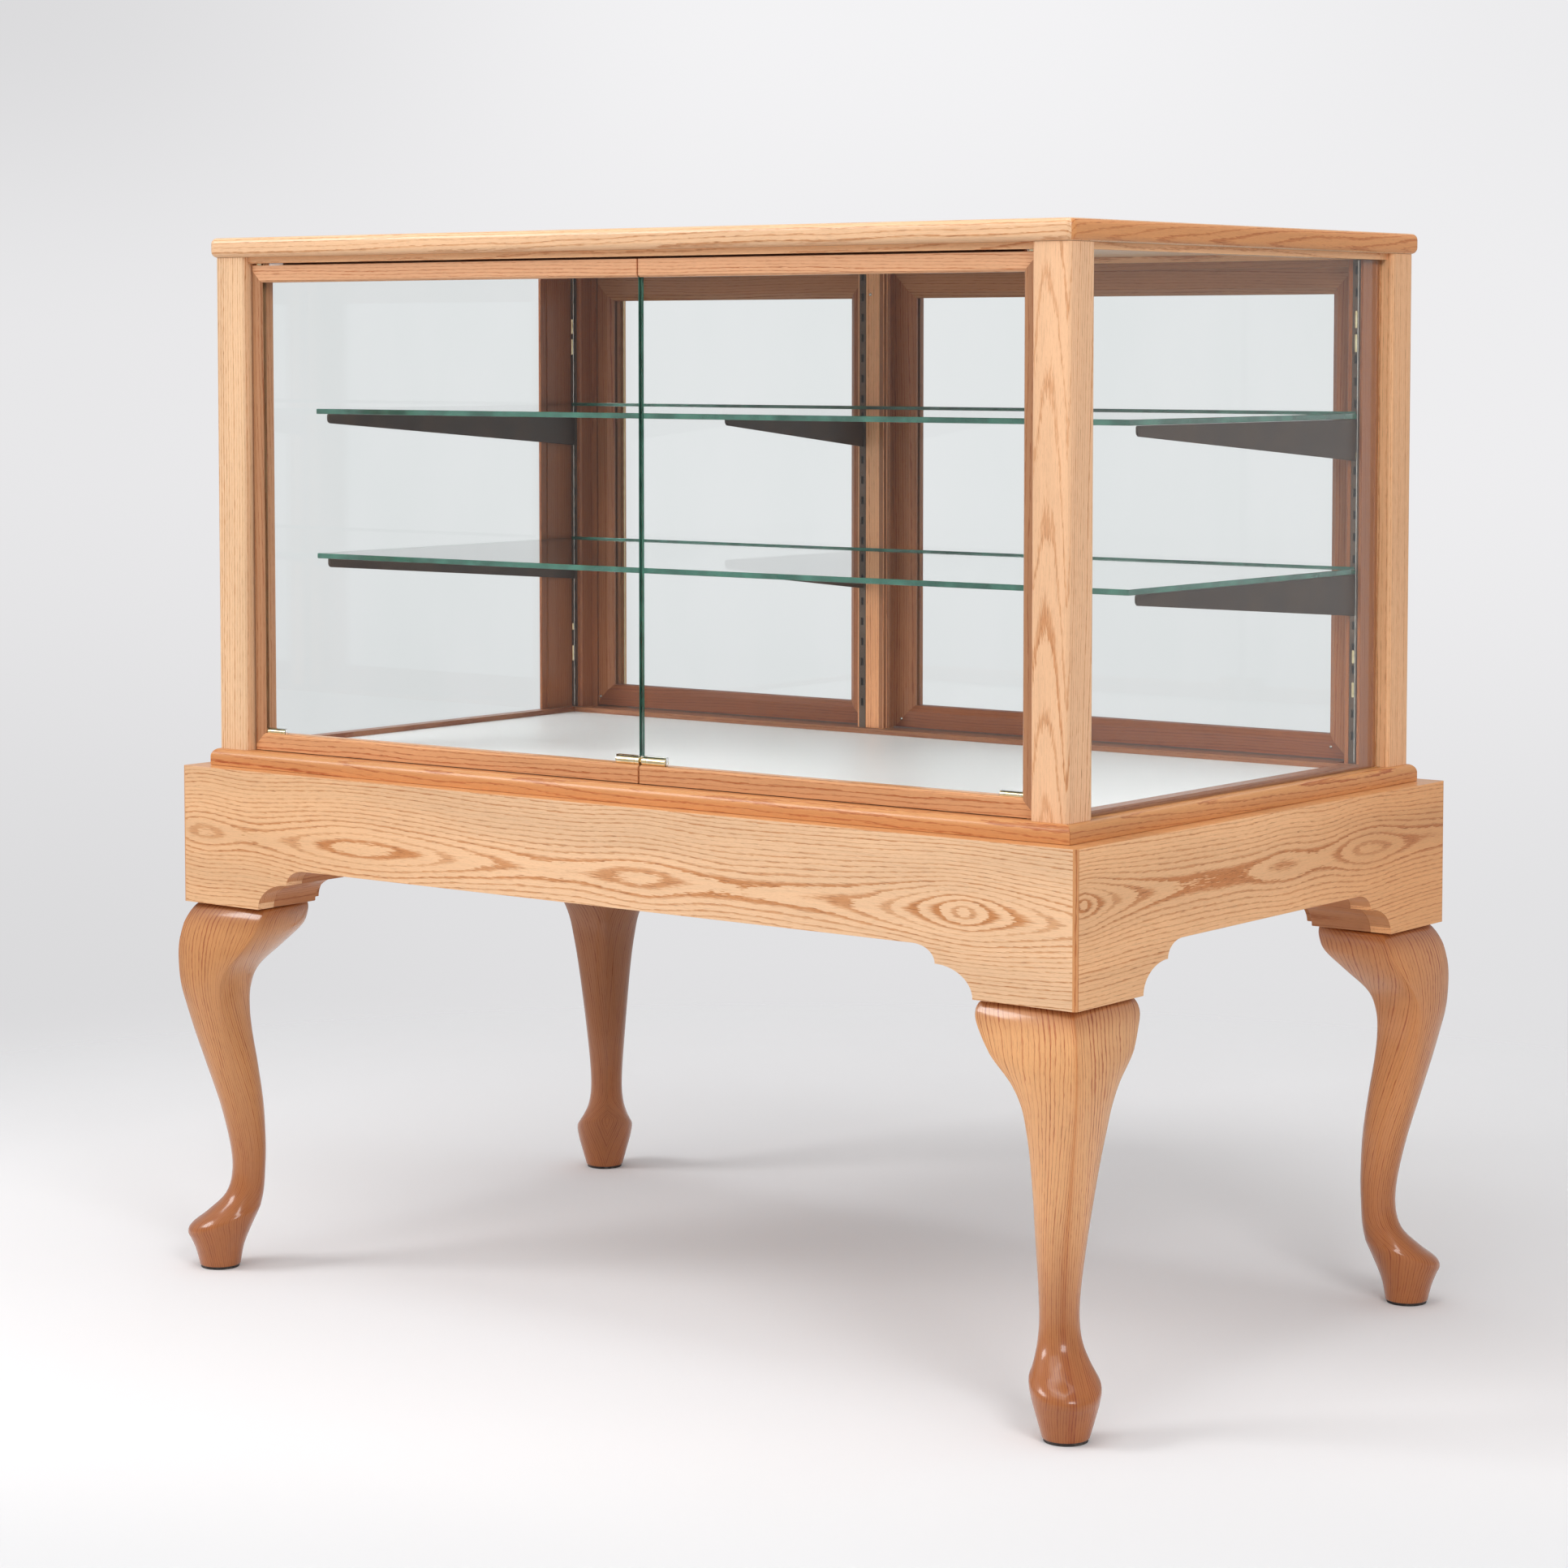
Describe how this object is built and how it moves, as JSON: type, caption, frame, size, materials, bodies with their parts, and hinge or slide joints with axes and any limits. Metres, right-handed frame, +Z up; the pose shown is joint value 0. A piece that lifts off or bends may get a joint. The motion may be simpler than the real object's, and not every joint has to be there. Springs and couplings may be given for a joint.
{
  "type": "glass display counter",
  "caption": "Oak and glass display case with shelves and hinged front and rear doors, on a stand with cabriole legs.",
  "frame": {"origin": "on the floor, under the middle of the stand", "axes": "+X along the counter, +Z up, and the customer's side with the front doors faces -Y"},
  "size_m": [1.2416, 0.7614, 1.181],
  "materials": {
    "oak": "satin lacquered red oak",
    "glass": "clear float glass with polished green edges",
    "laminate": "white laminate",
    "bronze": "dark bronze painted steel",
    "brass": "polished pale brass",
    "rubber": "dark glide"
  },
  "bodies": {
    "case": {"apron_front": "oak", "apron_right": "oak", "apron_back": "oak", "apron_left": "oak", "base_moulding_front": "oak", "base_moulding_right": "oak", "base_moulding_back": "oak", "base_moulding_left": "oak", "leg_front_left": "oak", "leg_front_right": "oak", "leg_back_right": "oak", "leg_back_left": "oak", "glide_front_left": "rubber", "glide_front_right": "rubber", "glide_back_right": "rubber", "glide_back_left": "rubber", "deck": "laminate", "post_front_left": "oak", "post_front_right": "oak", "post_back_right": "oak", "post_back_left": "oak", "case_top": "oak", "header_frame": "oak", "sill_frame": "oak", "side_glass_left": "glass", "side_glass_right": "glass", "rear_jamb_left": "oak", "rear_jamb_right": "oak", "mullion": "oak", "pivot_pin_lower_left": "brass", "pivot_pin_upper_left": "brass", "pivot_pin_lower_right": "brass", "pivot_pin_upper_right": "brass", "rear_hinge_post_leaf_left": "brass", "rear_hinge_post_leaf_right": "brass", "standard_left": "bronze", "standard_middle": "bronze", "standard_right": "bronze", "bracket_lower_left": "bronze", "bracket_upper_left": "bronze", "bracket_lower_middle": "bronze", "bracket_upper_middle": "bronze", "bracket_lower_right": "bronze", "bracket_upper_right": "bronze"},
    "front_door_left": {"front_door_frame_left": "oak", "front_door_glass_left": "glass", "seam_clamp_left": "brass", "corner_clamp_left": "brass"},
    "front_door_right": {"front_door_frame_right": "oak", "front_door_glass_right": "glass", "seam_clamp_right": "brass", "corner_clamp_right": "brass"},
    "rear_door_left": {"rear_door_frame_left": "oak", "rear_door_glass_left": "glass", "rear_hinge_door_leaf_left": "brass"},
    "rear_door_right": {"rear_door_frame_right": "oak", "rear_door_glass_right": "glass", "rear_hinge_door_leaf_right": "brass"},
    "shelf_lower": {"shelf_lower": "glass"},
    "shelf_upper": {"shelf_upper": "glass"}
  },
  "joints": [
    {"name": "front_door_left_pivot", "type": "hinge", "parent": "case", "child": "front_door_left", "pos_m": [-0.5251, -0.322, 0.875], "axis": [0, 0, -1], "range_deg": [0, 95]},
    {"name": "front_door_right_pivot", "type": "hinge", "parent": "case", "child": "front_door_right", "pos_m": [0.5251, -0.322, 0.875], "axis": [0, 0, 1], "range_deg": [0, 95]},
    {"name": "rear_door_left_hinge", "type": "hinge", "parent": "case", "child": "rear_door_left", "pos_m": [-0.5321, 0.3013, 0.875], "axis": [0, 0, 1], "range_deg": [0, 90]},
    {"name": "rear_door_right_hinge", "type": "hinge", "parent": "case", "child": "rear_door_right", "pos_m": [0.5321, 0.3013, 0.875], "axis": [0, 0, -1], "range_deg": [0, 90]},
    {"name": "shelf_lower_lift", "type": "slide", "parent": "case", "child": "shelf_lower", "axis": [0, 0, 1], "range_m": [0, 0.06]},
    {"name": "shelf_upper_lift", "type": "slide", "parent": "case", "child": "shelf_upper", "axis": [0, 0, 1], "range_m": [0, 0.06]}
  ]
}
